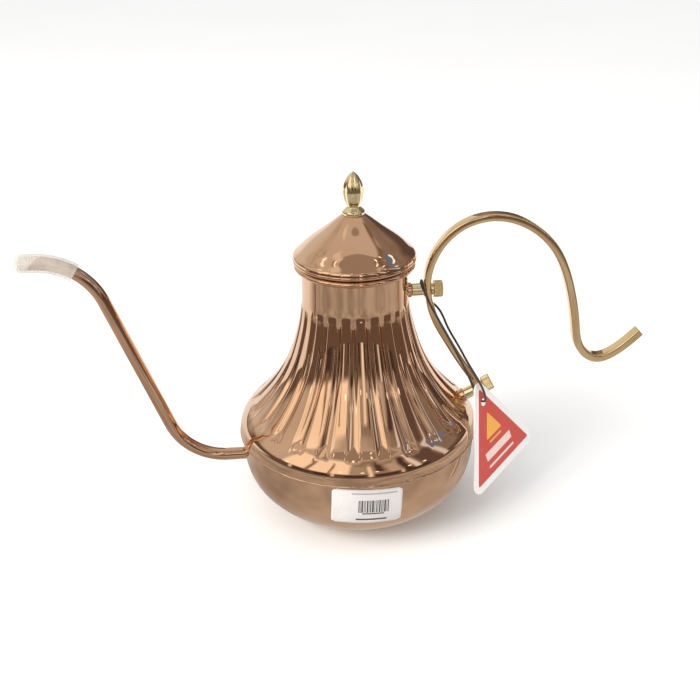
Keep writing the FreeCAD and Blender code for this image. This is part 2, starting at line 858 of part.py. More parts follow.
def make_tag():
    """Triangular card with rounded corners, hung by a hole near its top corner."""
    top, away, down, out = tag_frame()
    side = size("tag_side")
    half = 0.5 * side
    drop = side * math.sqrt(3.0) / 2.0
    thick = size("tag_thick")
    corners = [V(0, 0, 0), V(half, -drop, 0), V(-half, -drop, 0), V(0, 0, 0)]
    card = Part.Face(Part.makePolygon(corners)).extrude(V(0, 0, thick))
    upright = [edge for edge in card.Edges if abs(edge.tangentAt(0).z) > 0.99]
    card = card.makeFillet(size("tag_corner"), upright)
    hole = Part.makeCylinder(size("tag_hole_radius"), 4, V(0, -size("tag_hole_drop"), -2))
    part = plain_part("hang_tag", card.cut(hole))
    turn = FreeCAD.Matrix(
        away.x, -down.x, out.x, top.x,
        away.y, -down.y, out.y, top.y,
        away.z, -down.z, out.z, top.z,
        0, 0, 0, 1)
    part.Placement = FreeCAD.Placement(turn)
    return part


def make_cord():
    """Elastic loop over the upper spacer, down both sides of the strap and through the tag."""
    top, away, down, out = tag_frame()
    hole = top + down * size("tag_hole_drop") + out * (0.5 * size("tag_thick"))
    upper, _ = stud_frame("upper")
    knot = upper + V(1.2, 5.3, -8.0)
    spots = [
        knot + V(-0.35, -0.1, 0.65),
        upper + V(-1.4, 4.7, -3.0),
        upper + V(-2.5, 4.3, 0.7),
        upper + V(-2.8, 2.6, 3.6),
        upper + V(-2.8, 0.0, 4.5),
        upper + V(-2.7, -2.6, 3.6),
        upper + V(-2.2, -4.3, 1.1),
        upper + V(-1.1, -4.5, -2.1),
        upper + V(2.4, -4.5, -9.7),
        upper + V(8.9, -4.8, -22.2),
        upper + V(15.4, -6.5, -35.1),
        upper + V(19.2, -10.0, -42.8),
        top + down * 4.2 - out * 2.7,
        hole - out * 2.6 - down * 4.0,
        hole - out * 1.3 - down * 1.0,
        hole + out * 1.3 - down * 0.8,
        hole + out * 2.6 - down * 3.6,
        top + down * 4.2 + out * 2.0 + away * 0.6,
        upper + V(20.6, -6.9, -39.6),
        upper + V(15.6, -2.4, -30.4),
        upper + V(10.5, 0.2, -21.0),
        upper + V(6.6, 2.3, -12.6),
        upper + V(4.2, 4.3, -10.2),
        knot + V(0.4, -0.1, -0.6),
    ]
    curve = Part.BSplineCurve()
    curve.interpolate(spots)
    path = Part.Wire(curve.toShape())
    way = curve.tangent(curve.FirstParameter)[0]
    ring = Part.Wire(Part.makeCircle(size("cord_radius"), spots[0], way))
    loop = path.makePipeShell([ring], True, True)
    lump = Part.makeSphere(size("knot_radius"))
    lump.Placement = FreeCAD.Placement(knot, FreeCAD.Rotation(UP, V(0, 1, 0)))
    return plain_part("tag_cord", loop.fuse(lump))


# ---------------------------------------------------------------- build and write

parts = [
    make_bowl(),
    make_bell(),
    make_spout(),
    make_boss("upper"),
    make_boss("lower"),
    make_spacer("upper"),
    make_spacer("lower"),
    make_strap(),
    make_thumb_screw("upper"),
    make_thumb_screw("lower"),
    make_lid(),
    make_lid_plug(),
    make_finial(),
    make_finial_screw(),
    make_finial_washer(),
    make_sleeve(),
    make_label(),
    make_tag(),
    make_cord(),
]
doc.recompute()

for item in doc.Objects:
    if "Invalid" in item.State or "Error" in item.State:
        raise RuntimeError("%s is %s" % (item.Name, item.State))

os.makedirs("parts", exist_ok=True)
for part in parts:
    if part.Shape.isNull() or not part.Shape.isValid() or not part.Shape.Solids:
        raise RuntimeError("%s has no valid solid" % part.Label)
    part.Shape.exportStep("parts/%s.step" % part.Label)
    box = part.Shape.BoundBox
    print("%-20s solids %d  x %.1f..%.1f  y %.1f..%.1f  z %.1f..%.1f" % (
        part.Label, len(part.Shape.Solids), box.XMin, box.XMax, box.YMin, box.YMax, box.ZMin, box.ZMax))
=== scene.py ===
import json
import math

import bpy
import numpy as np
from mathutils import Matrix, Vector


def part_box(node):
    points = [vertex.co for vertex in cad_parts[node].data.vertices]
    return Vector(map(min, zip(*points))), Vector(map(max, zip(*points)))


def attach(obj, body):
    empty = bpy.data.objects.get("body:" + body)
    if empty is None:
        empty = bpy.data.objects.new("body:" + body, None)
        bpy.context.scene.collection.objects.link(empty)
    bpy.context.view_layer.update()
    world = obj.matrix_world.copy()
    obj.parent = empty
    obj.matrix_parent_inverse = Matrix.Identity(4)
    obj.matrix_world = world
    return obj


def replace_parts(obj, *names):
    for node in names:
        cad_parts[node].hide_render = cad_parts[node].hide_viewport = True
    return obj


# Looks of the gooseneck kettle. Metres, +Z up, origin at the centre of the base on the table,
# +X towards the handle and -X towards the spout. The shells, tubes, strap and most turned pieces are
# rebuilt as smooth grid meshes on the CAD's sizes, because mirror-polished metal shows every facet.
# Small relief departs from them: the flutes' section and lower ends, the knurls, a bead at the seam
# and the thin print on label and tag.

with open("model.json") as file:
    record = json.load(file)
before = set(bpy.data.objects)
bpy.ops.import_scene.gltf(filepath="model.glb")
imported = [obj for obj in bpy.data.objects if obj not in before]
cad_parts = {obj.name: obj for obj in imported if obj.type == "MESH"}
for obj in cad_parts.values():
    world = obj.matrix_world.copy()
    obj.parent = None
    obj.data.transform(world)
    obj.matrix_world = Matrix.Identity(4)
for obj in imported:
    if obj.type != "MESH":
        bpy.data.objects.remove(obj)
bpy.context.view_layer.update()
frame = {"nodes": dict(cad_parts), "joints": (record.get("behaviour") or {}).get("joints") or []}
MM = 0.001
GAP = 0.05 * MM  # clearance between pieces that bear on each other


# ---------------------------------------------------------------- mesh helpers

def curve_through(points, steps):
    """Evenly stepped natural cubic spline through points (any dimension)."""
    points = np.asarray(points, float)
    chords = np.linalg.norm(np.diff(points, axis=0), axis=1)
    knots = np.concatenate([[0.0], np.cumsum(chords)])
    count = len(points)
    system = np.zeros((count, count))
    right = np.zeros_like(points)
    system[0, 0] = system[-1, -1] = 1.0
    for i in range(1, count - 1):
        system[i, i - 1] = chords[i - 1]
        system[i, i] = 2.0 * (chords[i - 1] + chords[i])
        system[i, i + 1] = chords[i]
        slope_before = (points[i] - points[i - 1]) / chords[i - 1]
        slope_after = (points[i + 1] - points[i]) / chords[i]
        right[i] = 6.0 * (slope_after - slope_before)
    bend = np.linalg.solve(system, right)
    at = np.linspace(0.0, knots[-1], steps)
    span = np.clip(np.searchsorted(knots, at, side="right") - 1, 0, count - 2)
    wide = chords[span][:, None]
    ahead = ((knots[span + 1] - at)[:, None]) / wide
    behind = 1.0 - ahead
    return (ahead * points[span] + behind * points[span + 1]
            + ((ahead ** 3 - ahead) * bend[span] + (behind ** 3 - behind) * bend[span + 1]) * wide ** 2 / 6.0)


def arc(centre, radius, start, end, steps):
    """Points on an arc in a flat (radius, height) outline; angles in degrees from +r."""
    turn = np.radians(np.linspace(start, end, steps))
    return np.stack([centre[0] + radius * np.cos(turn), centre[1] + radius * np.sin(turn)], axis=1)


def straight(first, last, steps):
    """Evenly spaced points from first to last."""
    return np.linspace(first, last, steps)


def smooth_step(amount):
    """Soft change from 0 to 1 as amount goes from 0 to 1."""
    amount = np.clip(amount, 0.0, 1.0)
    return amount * amount * (3.0 - 2.0 * amount)


def new_piece(name, vertices, faces, body, material, sharp=None):
    """Mesh object with smooth shading; edges sharper than sharp degrees stay crisp."""
    mesh = bpy.data.meshes.new(name)
    mesh.from_pydata([tuple(v) for v in vertices], [], faces)
    mesh.validate()
    mesh.shade_smooth()
    if sharp:
        mesh.set_sharp_from_angle(angle=math.radians(sharp))
    piece = bpy.data.objects.new(name, mesh)
    bpy.context.scene.collection.objects.link(piece)
    mesh.materials.append(material)
    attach(piece, body)
    return piece


def grid_faces(rows, columns, wrap_rows, wrap_columns):
    """Quads of a grid of rows x columns points, closed along either way."""
    faces = []
    for row in range(rows if wrap_rows else rows - 1):
        below = (row + 1) % rows
        for column in range(columns if wrap_columns else columns - 1):
            beside = (column + 1) % columns
            faces.append((row * columns + column, row * columns + beside,
                          below * columns + beside, below * columns + column))
    return faces


def end_faces(rows, around):
    """Two faces that close the first and the last ring of a grid of rings."""
    return [tuple(range(around))[::-1], tuple((rows - 1) * around + i for i in range(around))]


def turned(name, outline, body, material,
           around=192, shape=None, closed=True, sharp=None, place=None):
    """Outline of (radius, height) points turned about Z. shape(radius, height, turn) may dent the
    surface. An outline that isn't closed has both ends near the axis and is capped flat there."""
    outline = np.asarray(outline, float)
    turn = np.linspace(0.0, 2.0 * math.pi, around, endpoint=False)
    radius = np.repeat(outline[:, :1], around, axis=1)
    height = np.repeat(outline[:, 1:], around, axis=1)
    if shape:
        radius = shape(radius, height, turn[None, :])
    points = np.stack([radius * np.cos(turn), radius * np.sin(turn), height], axis=2).reshape(-1, 3)
    faces = grid_faces(len(outline), around, closed, True)
    if not closed:
        faces += end_faces(len(outline), around)
    if place is not None:
        points = points @ np.array(place.to_3x3()).T + np.array(place.translation)
    return new_piece(name, points, faces, body, material, sharp)


def swept(path, sections):
    """Grid of flat sections (side, up) carried along a path that lies in the plane Y = 0."""
    path = np.asarray(path, float)
    sections = np.broadcast_to(sections, (len(path),) + np.shape(sections)[-2:])
    ways = np.gradient(path, axis=0)
    ways /= np.linalg.norm(ways, axis=1)[:, None]
    side = np.array((0.0, 1.0, 0.0))
    ups = np.cross(ways, side)
    return path[:, None, :] + sections[:, :, :1] * side + sections[:, :, 1:] * ups[:, None, :]


def ring_section(radius, around):
    """Circle as a closed loop of (side, up) points."""
    turn = np.linspace(0.0, 2.0 * math.pi, around, endpoint=False)
    return np.stack([radius * np.cos(turn), radius * np.sin(turn)], axis=1)


def rounded_section(wide, tall, edge, per_corner):
    """Rectangle with rounded corners as a closed loop of (side, up) points."""
    loop = []
    for corner, (sx, sy) in enumerate(((1, 1), (-1, 1), (-1, -1), (1, -1))):
        centre = (sx * (0.5 * wide - edge), sy * (0.5 * tall - edge))
        loop.append(arc(centre, edge, 90 * corner, 90 * corner + 90, per_corner))
    return np.concatenate(loop)


def matrix_of(axes, place):
    """4 x 4 matrix with the given axes as columns and its origin at place."""
    return Matrix([[axis[r] for axis in axes] + [place[r]] for r in range(3)] + [[0, 0, 0, 1]])


# ---------------------------------------------------------------- material helpers

class Nodes:
    """Short hand for building the node tree of a material or the world."""

    def __init__(self, owner, place="Object"):
        owner.use_nodes = True
        self.owner = owner
        self.tree = owner.node_tree
        self.place = self.add("ShaderNodeTexCoord").outputs[place]

    def add(self, kind, **settings):
        node = self.tree.nodes.new(kind)
        for key, value in settings.items():
            setattr(node, key, value)
        return node

    def join(self, value, socket):
        if isinstance(value, bpy.types.NodeSocket):
            self.tree.links.new(value, socket)
        elif isinstance(value, (tuple, list)) and len(value) == 3 and socket.type == "RGBA":
            socket.default_value = (*value, 1.0)
        else:
            socket.default_value = value

    def math(self, kind, first, second=None):
        node = self.add("ShaderNodeMath", operation=kind)
        self.join(first, node.inputs[0])
        if second is not None:
            self.join(second, node.inputs[1])
        return node.outputs[0]

    def stretch(self, scale):
        node = self.add("ShaderNodeMapping")
        self.join(self.place, node.inputs["Vector"])
        self.join(scale, node.inputs["Scale"])
        return node.outputs[0]

    def noise(self, scale, detail=4.0, rough=0.5, place=None, distortion=0.0):
        node = self.add("ShaderNodeTexNoise")
        self.join(place or self.place, node.inputs["Vector"])
        self.join(scale, node.inputs["Scale"])
        self.join(detail, node.inputs["Detail"])
        self.join(rough, node.inputs["Roughness"])
        self.join(distortion, node.inputs["Distortion"])
        return node.outputs["Fac"]

    def spread(self, value, low, high, to_low=0.0, to_high=1.0):
        node = self.add("ShaderNodeMapRange", interpolation_type="SMOOTHSTEP")
        for number, socket in zip((value, low, high, to_low, to_high), node.inputs[:5]):
            self.join(number, socket)
        return node.outputs[0]

    def blend(self, amount, first, second):
        node = self.add("ShaderNodeMix", data_type="RGBA")
        self.join(amount, node.inputs["Factor"])
        self.join(first, node.inputs["A"])
        self.join(second, node.inputs["B"])
        return node.outputs["Result"]

    def bump(self, height, strength, distance, normal=None):
        node = self.add("ShaderNodeBump")
        self.join(strength, node.inputs["Strength"])
        self.join(distance, node.inputs["Distance"])
        self.join(height, node.inputs["Height"])
        if normal is not None:
            self.join(normal, node.inputs["Normal"])
        return node.outputs[0]

    def finish(self, **values):
        for key, value in values.items():
            self.join(value, self.tree.nodes["Principled BSDF"].inputs[key.replace("_", " ")])
        return self.owner


def material_nodes(name):
    return Nodes(bpy.data.materials.new(name))


def polished_metal(name, tone, deep_tone, gloss, ripple):
    """Mirror-polished metal: slight tint drift, smudges, fine wipe marks and pressing ripples."""
    n = material_nodes(name)
    drift = n.noise(scale=28.0, detail=3.0)
    smudge = n.noise(scale=65.0, detail=6.0, rough=0.62, distortion=0.8)
    wipes = n.noise(scale=420.0, detail=3.0, rough=0.6, place=n.stretch((1.0, 1.0, 0.12)))
    colour = n.blend(n.spread(drift, 0.35, 0.68), tone, deep_tone)
    rough = n.math("ADD", n.spread(smudge, 0.45, 0.75, gloss, gloss + 0.07),
                   n.spread(wipes, 0.55, 0.8, 0.0, 0.03))
    waves = n.noise(scale=34.0, detail=1.0, rough=0.4)
    normal = n.bump(waves, strength=1.0, distance=ripple)
    normal = n.bump(wipes, strength=0.25, distance=0.02 * MM, normal=normal)
    return n.finish(Base_Color=colour, Metallic=1.0, Roughness=rough, Normal=normal)


def rose_gold():
    return polished_metal("rose_gold", (0.82, 0.54, 0.36), (0.76, 0.48, 0.31), gloss=0.02, ripple=0.03 * MM)


def brass():
    return polished_metal("brass", (0.92, 0.70, 0.41), (0.84, 0.60, 0.32), gloss=0.08, ripple=0.03 * MM)


# Painted light: the same brass with lighter tones, used on the knobs, their collars and the finial so that
# they look more brightly lit than the strap.
def brass_painted_lighter():
    return polished_metal("brass_painted_lighter", (1.0, 0.90, 0.60), (1.0, 0.82, 0.48), gloss=0.10, ripple=0.03 * MM)


def plain_steel():
    return polished_metal("plain_steel", (0.62, 0.62, 0.60), (0.52, 0.52, 0.52), gloss=0.28, ripple=0.02 * MM)


def clear_plastic():
    """Milky soft tubing with slightly clearer patches."""
    n = material_nodes("milky_plastic")
    cloud = n.noise(scale=120.0, detail=3.0)
    dimples = n.bump(n.noise(scale=260.0, detail=2.0), strength=0.4, distance=0.1 * MM)
    return n.finish(Base_Color=n.blend(cloud, (0.52, 0.46, 0.41), (0.70, 0.64, 0.58)),
                    Roughness=n.spread(cloud, 0.3, 0.7, 0.18, 0.34),
                    Alpha=n.spread(cloud, 0.3, 0.7, 0.36, 0.52),
                    IOR=1.4, Normal=dimples, Specular_IOR_Level=0.6)


def sticker_paper():
    """White label paper: fine fibres and faint stains."""
    n = material_nodes("sticker_paper")
    fibre = n.noise(scale=900.0, detail=5.0, rough=0.7)
    stain = n.noise(scale=60.0, detail=3.0)
    colour = n.blend(n.spread(stain, 0.35, 0.7), (0.66, 0.62, 0.61), (0.58, 0.55, 0.55))
    return n.finish(Base_Color=n.blend(n.spread(fibre, 0.3, 0.8, 0.0, 0.35), colour, (0.50, 0.47, 0.47)),
                    Roughness=n.spread(fibre, 0.3, 0.7, 0.42, 0.6),
                    Normal=n.bump(fibre, strength=0.3, distance=0.04 * MM))


def ink(name, tone):
    """Printed ink, speckled where it is thin."""
    n = material_nodes(name)
    speck = n.noise(scale=1500.0, detail=3.0, rough=0.7)
    thin_tone = tuple(0.6 * c + 0.12 for c in tone)
    return n.finish(Base_Color=n.blend(n.spread(speck, 0.35, 0.75, 0.0, 0.5), tone, thin_tone),
                    Roughness=n.spread(speck, 0.3, 0.7, 0.4, 0.6),
                    Normal=n.bump(speck, strength=0.2, distance=0.02 * MM))


def card(name, tone, worn):
    """Printed laminated card with faint scuffs."""
    n = material_nodes(name)
    scuff = n.noise(scale=150.0, detail=6.0, rough=0.7)
    grain = n.noise(scale=1200.0, detail=3.0, rough=0.6)
    return n.finish(Base_Color=n.blend(n.spread(scuff, 0.5, 0.78, 0.0, 0.45), tone, worn),
                    Roughness=n.spread(scuff, 0.3, 0.7, 0.28, 0.46),
                    Normal=n.bump(grain, strength=0.25, distance=0.03 * MM))


def elastic():
    """Black braided elastic: fine diagonal weave."""
    n = material_nodes("black_elastic")
    weave = n.add("ShaderNodeTexWave", bands_direction="DIAGONAL")
    n.join(n.place, weave.inputs["Vector"])
    n.join(620.0, weave.inputs["Scale"])
    n.join(1.2, weave.inputs["Distortion"])
    ridges = weave.outputs["Fac"]
    fuzz = n.noise(scale=1800.0, detail=3.0, rough=0.7)
    # Painted shade: the colour turns near black where the weave's bump dips into its grooves, and it varies
    # at random with the fuzz.
    colour = n.blend(n.math("MULTIPLY", ridges, fuzz), (0.022, 0.012, 0.008), (0.11, 0.066, 0.045))
    return n.finish(Base_Color=colour, Roughness=n.spread(fuzz, 0.3, 0.7, 0.55, 0.85),
                    Normal=n.bump(ridges, strength=0.7, distance=0.12 * MM), Sheen_Weight=0.4)


ROSE = rose_gold()
BRASS = brass()
# Brass with painted light, for the knobs, their collars and the finial.
BRASS_PAINTED_LIGHTER = brass_painted_lighter()
STEEL = plain_steel()


# ---------------------------------------------------------------- sizes taken from the frame

bowl_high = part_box("lower_bowl")[1]
bell_low, bell_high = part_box("bell_shell")
lid_low, lid_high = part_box("lid_shell")
strap_low, strap_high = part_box("handle_strap")
finial_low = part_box("finial")[0]
label_low, label_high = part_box("price_label")
joints = {joint["name"]: joint for joint in frame["joints"]}

WALL = 0.8 * MM
BOWL_RADIUS = bowl_high.x
BOWL_TOP = bowl_high.z
BASE_RADIUS = BOWL_RADIUS - 26.1 * MM
SEAM = bell_low.z
BELL_RADIUS = bell_high.x
NECK_RADIUS = BELL_RADIUS - 34.8 * MM
RIM_RADIUS = BELL_RADIUS - 31.3 * MM
RIM_TOP = bell_high.z
NECK_TOP = RIM_TOP - 3.8 * MM
FLUTES = 24
FLUTE_BOTTOM = SEAM + 10.5 * MM
FLUTE_TOP = SEAM + 72.5 * MM
STRAP_THICK = 3.2 * MM
SPACER_LENGTH = 6.4 * MM
SPOUT_CENTRE = np.array(joints["sleeve_pull"]["pos_m"])  # centre of the spout's upper bend
SPOUT_BEND = 32.5 * MM
SPOUT_RISE = 70.3  # degrees
LABEL_MIDDLE = 0.5 * (label_low.z + label_high.z)
LABEL_TILT = math.radians(2.3)
LABEL_TURN = math.radians(-1.4)
TAG_HOLE = 15.2 * MM  # from the tag's top corner to the middle of its hole


# ---------------------------------------------------------------- shells

def make_bowl():
    """Lower shell: flat base, full curve, straight lap that goes up inside the bell."""
    def side(inset, steps):
        """Side curve from the base up, moved inward by inset."""
        foot = BASE_RADIUS - inset
        edge = BOWL_RADIUS - inset
        rise = [(0.0, 0.0), (5.3, 2.9), (10.2, 6.0), (15.1, 10.0), (19.5, 14.8), (22.7, 19.8), (24.6, 24.8)]
        points = [(foot + dx * MM, inset + dz * MM) for dx, dz in rise]
        points += [(edge - 0.4 * MM, 30.4 * MM), (edge, 37.0 * MM), (edge, BOWL_TOP)]
        return curve_through(points, steps)

    middle = 0.3 * MM
    outside = side(0.0, 90)
    inside = side(WALL, 60)[::-1]
    outline = np.concatenate([
        straight((middle, 0.0), (BASE_RADIUS - 0.6 * MM, 0.0), 10),
        outside[1:], inside[:-1],
        straight((BASE_RADIUS - 2.0 * MM, WALL), (middle, WALL), 10)])
    piece = turned("bowl", outline, "kettle", ROSE, around=224, closed=False, sharp=50)
    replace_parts(piece, "lower_bowl")
    return outside


def flute_shape(radius, height, turn):
    """Flutes pressed into the bell: broad crests, narrow valleys, rounded ends."""
    valley_power, crest_share = 8, 0.25
    bottom_ease, top_ease, end_rounding = 4.0 * MM, 3.5 * MM, 2.5 * MM
    valley = np.abs(np.sin(0.5 * FLUTES * turn)) ** valley_power
    low = smooth_step((height - FLUTE_BOTTOM - end_rounding * valley) / bottom_ease)
    high = smooth_step((FLUTE_TOP - end_rounding * valley - height) / top_ease)
    depth = 0.9 * MM + 0.012 * radius
    return radius + depth * low * high * (crest_share - valley)


def make_bell():
    """Upper shell: shoulder over the seam, fluted flare, plain neck and a rolled mouth."""
    shoulder = [(0.0, 0.0), (2.0, 0.0), (4.5, 0.2), (7.5, 1.1), (10.2, 2.9), (12.6, 5.2), (14.6, 7.6),
                (17.0, 10.0), (21.0, 13.7), (27.0, 18.6), (33.0, 22.6), (40.0, 26.3), (48.0, 29.4),
                (57.0, 32.0)]
    throat = [(66.0, 0.9), (70.5, 0.35), (74.5, 0.1), (80.0, 0.0)]

    def side(inset, steps):
        """Side curve from the seam up to the rim, moved inward by inset."""
        edge = BELL_RADIUS - inset
        neck = NECK_RADIUS - inset
        points = [(edge - dr * MM, SEAM + dz * MM) for dz, dr in shoulder]
        points += [(neck + dr * MM, SEAM + dz * MM) for dz, dr in throat]
        points.append((neck, NECK_TOP))
        return curve_through(points, steps)

    outside = side(0.0, 220)
    inside = side(WALL, 110)[::-1]
    middle = 0.5 * (NECK_TOP + RIM_TOP)
    mouth = NECK_RADIUS - WALL
    rim = curve_through([
        (NECK_RADIUS, NECK_TOP), (NECK_RADIUS + 0.7 * MM, NECK_TOP + 0.02 * MM),
        (RIM_RADIUS - 1.0 * MM, NECK_TOP + 0.5 * MM), (RIM_RADIUS, middle),
        (RIM_RADIUS - 1.0 * MM, RIM_TOP - 0.5 * MM), (NECK_RADIUS + 0.9 * MM, RIM_TOP),
        (NECK_RADIUS + 0.1 * MM, RIM_TOP)], 44)
    lip = arc((mouth + 0.8 * MM, RIM_TOP - 0.9 * MM), 0.85 * MM, 95, 180, 8)
    seam_bead = 0.65 * MM
    seam_edge = arc((BELL_RADIUS - 0.15 * MM, SEAM + seam_bead), seam_bead, 180, 430, 16)
    outline = np.concatenate([outside[3:-1], rim, lip, inside[:-2], seam_edge])
    piece = turned("bell", outline, "kettle", ROSE, around=FLUTES * 32, shape=flute_shape)
    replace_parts(piece, "bell_shell")


def make_lid():
    """Pointed lid: shallow cone rounding over to the rim, with a rolled bead at the foot."""
    edge = lid_high.x
    top = lid_high.z
    foot = lid_low.z
    bead = 1.1 * MM
    screw_hole = 1.7 * MM
    flat_start, flat_end = 5.6 * MM, 5.0 * MM

    def side(inset, steps):
        """Side curve from the top out to the bead, moved inward by inset."""
        rim = edge - inset
        points = [(flat_start, top - inset)]
        points += [(r * MM, top - dz * MM - inset) for r, dz in ((8.0, 1.7), (14.0, 6.4))]
        turning = ((11.2, 12.6), (5.6, 8.2), (2.1, 4.9))
        points += [(rim - dr * MM, foot + dz * MM - inset) for dr, dz in turning]
        points += [(rim - 0.3 * MM, foot + 2.9 * MM), (rim - 0.15 * MM, foot + 2.0 * MM)]
        return curve_through(points, steps)

    outside = side(0.0, 90)
    inside = side(WALL, 50)[::-1]
    curl = arc((edge - bead, foot + bead), bead, 75, -200, 24)
    outline = np.concatenate([
        straight((screw_hole, top), (flat_end, top), 5), outside, curl, inside,
        straight((flat_end, top - WALL), (screw_hole, top - WALL), 5)])
    piece = turned("lid", outline, "lid", ROSE, around=192, sharp=60)
    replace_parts(piece, "lid_shell")


def lobed(lobes, depth_at):
    """Rounded crests with narrower valleys; depth_at(height) is the depth of a valley."""
    crest_share = 0.35

    def shape(radius, height, turn):
        valley = np.abs(np.sin(0.5 * lobes * turn)) ** 3
        return radius + depth_at(height) * (crest_share - valley)
    return shape


def make_finial():
    """Bud on a bell-shaped collar, both pressed into six soft lobes."""
    foot = finial_low.z
    tapped_hole = 1.6 * MM
    # height over the foot, radius, depth of the valleys between lobes, in millimetres
    stations = [(0.0, 5.2, 0.0), (0.5, 5.4, 0.25), (1.0, 5.42, 0.35), (2.0, 5.0, 0.5), (3.2, 3.7, 0.35),
                (3.9, 3.15, 0.15), (5.4, 3.6, 0.3), (8.4, 4.5, 0.5), (11.6, 4.92, 0.55), (14.8, 4.3, 0.5),
                (17.7, 3.0, 0.35), (19.7, 1.5, 0.15), (20.7, 0.3, 0.0)]
    heights = [foot + z * MM for z, _, _ in stations]
    valleys = np.array([depth for _, _, depth in stations]) * MM
    outline = curve_through([(r * MM, foot + z * MM) for z, r, _ in stations], 120)
    outline = np.concatenate([straight((tapped_hole, foot), (5.0 * MM, foot), 4), outline])

    def depth_at(height):
        return np.interp(height, heights, valleys)

    piece = turned("finial_bud", outline, "lid", BRASS_PAINTED_LIGHTER, around=144,
                   shape=lobed(6, depth_at), closed=False, sharp=50)
    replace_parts(piece, "finial")


def stud_place(joint_name):
    """Frame on a stud axis: local z runs outward from the middle of the strap."""
    joint = joints[joint_name]
    axis = Vector(joint["axis"]).normalized()
    side = Vector((0.0, 1.0, 0.0))
    across = side.cross(axis)
    return matrix_of((across, side, axis), joint["pos_m"])


def make_stud(which):
    """Knurled thumb screw and the turned spacer behind the strap."""
    joint = which + "_screw_turn"
    middle, tip_edge = 0.02 * MM, 0.4 * MM
    shank, neck, radius, edge = 1.95 * MM, 2.9 * MM, 4.2 * MM, 0.6 * MM
    tip, start = -8.5 * MM, 0.5 * STRAP_THICK + GAP
    grip_start, grip_end = start + 1.2 * MM, start + 5.8 * MM
    step = 0.1 * MM
    outline = np.concatenate([
        [(middle, tip)], arc((shank - tip_edge, tip + tip_edge), tip_edge, -90, 0, 5),
        straight((shank, -7.6 * MM), (shank, start), 12),
        straight((shank + step, start), (neck - step, start), 3),
        straight((neck, start + step), (neck, grip_start - step), 3),
        straight((neck + step, grip_start), (radius - edge, grip_start), 4),
        arc((radius - edge, grip_start + edge), edge, -80, 0, 6),
        straight((radius, grip_start + edge + step), (radius, grip_end - edge - step), 6),
        arc((radius - edge, grip_end - edge), edge, 0, 90, 7),
        straight((radius - 1.4 * edge, grip_end), (middle, grip_end), 6)])

    def knurl(radius_here, height, turn):
        knurls, depth = 30, 0.3 * MM
        ridge = 0.5 - 0.5 * np.cos(knurls * turn)
        grip = smooth_step((radius_here - 3.3 * MM) / (0.7 * MM))
        return radius_here - depth * grip * ridge ** 2

    piece = turned(which + "_knob", outline, which + "_screw", BRASS_PAINTED_LIGHTER,
                   around=360, shape=knurl, closed=False, sharp=50, place=stud_place(joint))
    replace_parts(piece, which + "_thumb_screw")
    far = -0.5 * STRAP_THICK - SPACER_LENGTH + GAP
    near = -0.5 * STRAP_THICK - GAP
    outer, inner, bevel = 3.1 * MM, 2.02 * MM, 0.3 * MM
    ring = [(inner, far), (outer - bevel, far), (outer, far + bevel), (outer, far + 1.0 * MM),
            (outer, near - 1.0 * MM), (outer, near - bevel), (outer - bevel, near), (inner, near)]
    piece = turned(which + "_collar", ring, "kettle", BRASS_PAINTED_LIGHTER,
                   around=96, sharp=30, place=stud_place(joint))
    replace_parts(piece, which + "_spacer")


def strap_line():
    """(x, z) points of the strap's middle line in millimetres, placed from the two studs."""
    upper, lower = (Vector(joints[name]["pos_m"]) / MM for name in ("upper_screw_turn", "lower_screw_turn"))
    axis = joints["lower_screw_turn"]["axis"]
    down = Vector((axis[2], 0.0, -axis[0]))
    end, above = lower + down * 4.2, lower - down * 3.6
    points = [(end.x, end.z), (lower.x, lower.z), (above.x, above.z)]
    points += [(lower.x + dx, lower.z + dz) for dx, dz in ((-10.0, 16.5), (-17.2, 28.8))]
    points += [(upper.x + dx, upper.z + dz) for dx, dz in (
        (4.5, -17.2), (0.7, -5.0), (0.0, 0.0), (0.2, 8.2), (4.8, 20.8), (14.4, 31.0), (32.0, 36.2),
        (49.5, 31.0), (63.5, 17.8), (72.0, -2.0), (76.6, -24.0), (80.0, -36.5), (88.8, -43.2),
        (99.5, -39.5), (110.8, -29.6))]
    return np.array(points)


def strap_section(spot):
    """Cross section: pressed flat at the studs, fuller between them and towards the hook."""
    swell_most, flare_most, flat_depth = 0.5 * MM, 0.5 * MM, 0.12 * MM
    swell_reach, flat_reach, flare_start, flare_reach = 9.0 * MM, 4.2 * MM, 30.0 * MM, 80.0 * MM
    studs = [np.array(joints[name]["pos_m"]) for name in ("upper_screw_turn", "lower_screw_turn")]
    nearest = min(np.linalg.norm(spot - stud) for stud in studs)
    swell = 1.0 - math.exp(-((nearest / swell_reach) ** 4))
    flare = min(1.0, max(0.0, (spot[0] - studs[0][0] - flare_start) / flare_reach))
    raised = smooth_step((nearest - flat_reach) / MM)
    tall = STRAP_THICK + swell_most * swell + flare_most * flare + flat_depth * raised
    return rounded_section(strap_high.y - strap_low.y, tall, 1.1 * MM, 7)


def make_strap():
    """Bent flat strap with softened edges."""
    cap_share, cap_reach = 0.88, 0.2 * MM
    line = curve_through(strap_line(), 420) * MM
    path = np.stack([line[:, 0], np.zeros(len(line)), line[:, 1]], axis=1)
    rows = swept(path, np.array([strap_section(spot) for spot in path]))
    caps = []
    for end, inner in ((0, 1), (-1, -2)):
        beyond = (path[end] - path[inner]) / np.linalg.norm(path[end] - path[inner]) * cap_reach
        caps.append(path[end] + (rows[end] - path[end]) * cap_share + beyond)
    points = np.concatenate([caps[0][None], rows, caps[1][None]])
    around = points.shape[1]
    faces = grid_faces(len(points), around, False, True) + end_faces(len(points), around)
    piece = new_piece("strap", points.reshape(-1, 3), faces, "kettle", BRASS, 40)
    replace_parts(piece, "handle_strap")


def on_spout_bend(degrees):
    """Point on the spout's upper bend and the way to the mouth there; 0 degrees is the mouth."""
    turn = math.radians(degrees)
    return (SPOUT_CENTRE + SPOUT_BEND * np.array((math.sin(turn), 0.0, math.cos(turn))),
            np.array((-math.cos(turn), 0.0, math.sin(turn))))


